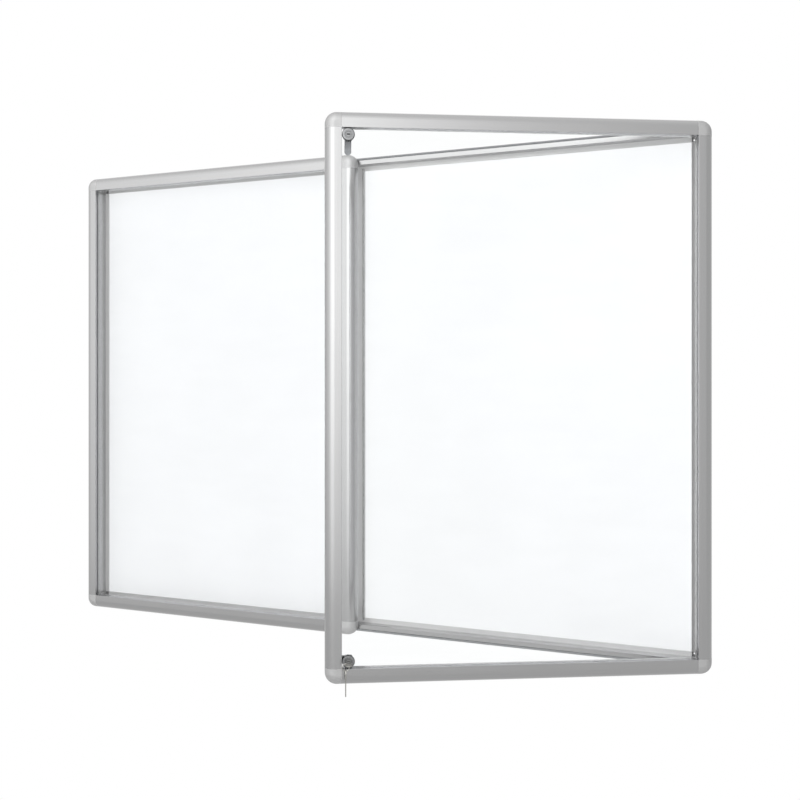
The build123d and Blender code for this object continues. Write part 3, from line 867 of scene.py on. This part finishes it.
def split_ring():
    """Two turns of flat wire about the z axis, then laid upright."""
    shape = bmesh.new()
    middle = ring_outer - wire / 2
    section = [(-0.66, 0.08), (-0.45, -0.02), (0.45, -0.02), (0.66, 0.08), (0.66, 0.5), (0.45, 0.62),
               (-0.45, 0.62), (-0.66, 0.5)]
    verts = [shape.verts.new((middle + x, 0, z)) for x, z in section]
    edges = [shape.edges.new((a, b)) for a, b in zip(verts, verts[1:] + verts[:1])]
    start = shape.faces.new(verts)
    bmesh.ops.spin(shape, geom=verts + edges + [start], cent=(0, 0, 0), axis=(0, 0, 1),
                   dvec=(0, 0, climb / turn_steps), angle=4 * math.pi, steps=2 * turn_steps, use_merge=False)
    bmesh.ops.recalc_face_normals(shape, faces=shape.faces)
    bmesh.ops.translate(shape, vec=(0, 0, -coil_middle), verts=shape.verts)
    bmesh.ops.rotate(shape, cent=(0, 0, 0), matrix=Matrix.Rotation(math.pi / 2, 3, "X"), verts=shape.verts)
    bmesh.ops.rotate(shape, cent=(0, 0, 0), matrix=Matrix.Rotation(opening, 3, "Z"), verts=shape.verts)
    bmesh.ops.translate(shape, vec=ring_middle, verts=shape.verts)
    return shape


add_piece("split_ring", split_ring(), "key_ring")
print("ring", round(2 * ring_outer, 1), "mm")

# %% [markdown]
# ## Light
#
# Satin metal shows its surroundings far more than its own colour, so the light is drawn as a studio
# builds it round silverware: a bright broad source in front, a little to the right, which fades softly
# over the left side and over the top, and stops sharply on the right.  A few lamps would do this with
# hard borders between them.  The world shader does it with curves, one over the compass times one over
# the height, plus a faint one from overhead, so each bar gets one smooth highlight.  Only the metal and
# the other glossy surfaces mirror it.

# %% Curves over the sky
def curve(tree, value, points):
    """Read a level off straight lines through (input, level) points."""
    low, high = points[0][0], points[-1][0]
    top = max(level for _, level in points)
    amount = add_node(tree, "MapRange", {0: value, 1: low, 2: high, 3: 0.0, 4: 1.0}).outputs[0]
    ramp = add_node(tree, "ValToRGB", {0: amount})
    elements = ramp.color_ramp.elements
    for place, level in points[1:-1]:
        elements.new((place - low) / (high - low))
    for element, (place, level) in zip(elements, points):
        element.position = (place - low) / (high - low)
        element.color = [level / top] * 3 + [1.0]
    return add_node(tree, "Math", {0: ramp.outputs[0], 1: top}, operation="MULTIPLY").outputs[0]


def plain_rays(tree):
    """1 for sight, and for rays straight through or off the glass, which see the plain white studio."""
    path = add_node(tree, "LightPath")
    glass_ray = add_node(tree, "Math", {0: path.outputs["Is Transmission Ray"],
                                        1: path.outputs["Is Singular Ray"]}, operation="MAXIMUM")
    plain = add_node(tree, "Math", {0: path.outputs["Is Camera Ray"], 1: glass_ray.outputs[0]},
                     operation="MAXIMUM").outputs[0]
    return plain, path.outputs["Is Glossy Ray"]


# %% World
world = bpy.data.worlds.new("studio_air")
bpy.context.scene.world = world
world.use_nodes = True
tree = world.node_tree
tree.nodes.clear()
direction = add_node(tree, "SeparateXYZ", {0: add_node(tree, "TexCoord").outputs["Generated"]}).outputs
towards_front = add_node(tree, "Math", {0: direction[1], 1: -1.0}, operation="MULTIPLY").outputs[0]
bearing = add_node(tree, "Math", {0: direction[0], 1: towards_front}, operation="ARCTAN2").outputs[0]
compass = add_node(tree, "Math", {0: bearing}, operation="DEGREES").outputs[0]
climbing = add_node(tree, "Math", {0: direction[2]}, operation="ARCSINE").outputs[0]
height = add_node(tree, "Math", {0: climbing}, operation="DEGREES").outputs[0]
# Compass: 0 is straight out of the wall, minus is left.  Height: 0 is level, 90 is overhead.
round_about = curve(tree, compass, [
    (-180, 0.09), (-156, 0.10), (-102, 0.18), (-78, 0.34), (-60, 0.55), (-46, 0.7), (-40, 0.76),
    (-36, 0.86), (-32, 1.02), (-28, 1.14), (-24, 1.22), (-18, 1.5), (-12, 1.85), (-4, 2.02), (28, 2.0),
    (29.5, 1.35), (32, 1.2), (36, 0.8), (39, 0.58), (42, 0.38), (47, 0.18), (54, 0.1), (64, 0.0),
    (180, 0.0)])
up_and_down = curve(tree, height, [
    (-90, 0.0), (-20, 0.0), (-12, 0.3), (-4, 0.66), (4, 0.97), (12, 1.0), (30, 1.0), (40, 0.9),
    (53, 0.65), (66, 0.4), (81, 0.1), (90, 0.0)])
overhead = curve(tree, height, [
    (-90, 0.0), (25, 0.0), (40, 0.1), (53, 0.2), (66, 0.3), (81, 0.4), (90, 0.45)])
glow = add_node(tree, "Math", {0: round_about, 1: up_and_down, 2: overhead},
                operation="MULTIPLY_ADD").outputs[0]
surround = 0.85
ambient = 0.13
mirror_level = add_node(tree, "Math", {0: glow, 1: surround}).outputs[0]
mirrored = add_node(tree, "Background", {"Strength": mirror_level})
soft = add_node(tree, "Background", {"Strength": ambient})
white = add_node(tree, "Background", {"Strength": 1.0})
for shader in (mirrored, soft, white):
    shader.inputs[0].default_value = (1, 1, 1, 1)
plain, glossy = plain_rays(tree)
mix = add_node(tree, "MixShader", {0: glossy, 1: soft.outputs[0], 2: mirrored.outputs[0]})
mix = add_node(tree, "MixShader", {0: plain, 1: mix.outputs[0], 2: white.outputs[0]})
add_node(tree, "OutputWorld", {"Surface": mix.outputs[0]})
print("mirrored level from", surround, "up, other rays", ambient)

# %% [markdown]
# Painted and moulded surfaces need light, not a mirror image, so two soft boxes in front and one behind
# give it.  The metal doesn't mirror them.  The key box casts soft shadows.  The front fill stands for the
# many reflections of a white studio, which fill every corner of the bays, so it casts none.  The rear one
# lights the back of the board.

# %% Soft boxes
def soft_box(name, azimuth, elevation, distance, size, radiance, shadow):
    """A square area lamp aimed at the board's middle, with the level it gives a white sheet there."""
    data = bpy.data.lights.new(name, "AREA")
    data.shape = "SQUARE"
    data.size = size
    data.energy = radiance * math.pi * math.pi * distance ** 2
    data.use_shadow = shadow
    lamp = bpy.data.objects.new(name, data)
    turn, lift = math.radians(azimuth), math.radians(elevation)
    lamp.location = Vector((math.cos(lift) * math.sin(turn), -math.cos(lift) * math.cos(turn),
                            math.sin(lift))) * distance
    lamp.rotation_euler = (math.pi / 2 - lift, 0, turn)
    lamp.visible_camera = False
    lamp.visible_glossy = False
    lamp.visible_transmission = False
    scene_objects.link(lamp)


soft_box("key_soft_box", -8, 22, 9.0, 6.0, 0.08, True)
soft_box("front_fill", 6, 14, 9.0, 4.0, 0.79, False)
soft_box("rear_fill", 190, 30, 9.0, 6.0, 0.5, True)
print(len([o for o in scene_objects if o.type == "LIGHT"]), "soft boxes")

# %% [markdown]
# ## Floor and camera
#
# The board hangs with its middle at eye height, so the pale floor lies well below it.  Sight sees the
# floor as plain white, a mirror sees it as bright as the surroundings, and every other ray sees painted
# concrete that takes the board's shadow.  The camera stands to the right, level with the board, so that
# upright edges stay upright.

# %% Floor
eye_height = 1.45
floor_radius = 6.2
floor_mesh = bmesh.new()
bmesh.ops.create_circle(floor_mesh, cap_ends=True, segments=96, radius=floor_radius,
                        matrix=Matrix.Translation((0, 0, -eye_height)))
floor_data = bpy.data.meshes.new("studio_floor")
floor_mesh.to_mesh(floor_data)
floor_mesh.free()
floor = bpy.data.objects.new("studio_floor", floor_data)
scene_objects.link(floor)
floor_paint, tree = new_material("pale_floor_paint")
plain, glossy = plain_rays(tree)
brightness = add_node(tree, "MapRange", {0: plain, 3: surround, 4: 1.0}).outputs[0]
seen = add_node(tree, "Emission", {"Color": (1, 1, 1, 1), "Strength": brightness})
lit = add_node(tree, "BsdfDiffuse", {"Color": linear("#E4E4E4")})
shown = add_node(tree, "Math", {0: plain, 1: glossy}, operation="MAXIMUM").outputs[0]
mix = add_node(tree, "MixShader", {0: shown, 1: lit.outputs[0], 2: seen.outputs[0]})
add_node(tree, "OutputMaterial", {"Surface": mix.outputs[0]})
floor_data.materials.append(floor_paint)
floor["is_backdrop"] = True

print("floor", eye_height, "m below the board's middle")

# %% Camera
# Sensor and focal length in millimetres, the stand in metres and the turn to the left in degrees.
sensor_width, focal_length, lens_shift = 36.0, 46.72, -0.028
stand, turn_left = (0.9520, -1.9839, 0.0355), 23.7965
camera_data = bpy.data.cameras.new("camera")
camera_data.sensor_width = sensor_width
camera_data.lens = focal_length
camera_data.shift_y = lens_shift
camera = bpy.data.objects.new("camera", camera_data)
camera.location = stand
camera.rotation_euler = (math.radians(90), 0, math.radians(turn_left))
scene_objects.link(camera)
bpy.context.scene.camera = camera

bpy.context.scene.view_settings.view_transform = "Standard"
dressed_low, dressed_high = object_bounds()
growth = (solid_low - dressed_low)[:] + (dressed_high - solid_high)[:]
print("grown by", [round(side / MM, 2) for side in growth], "mm")
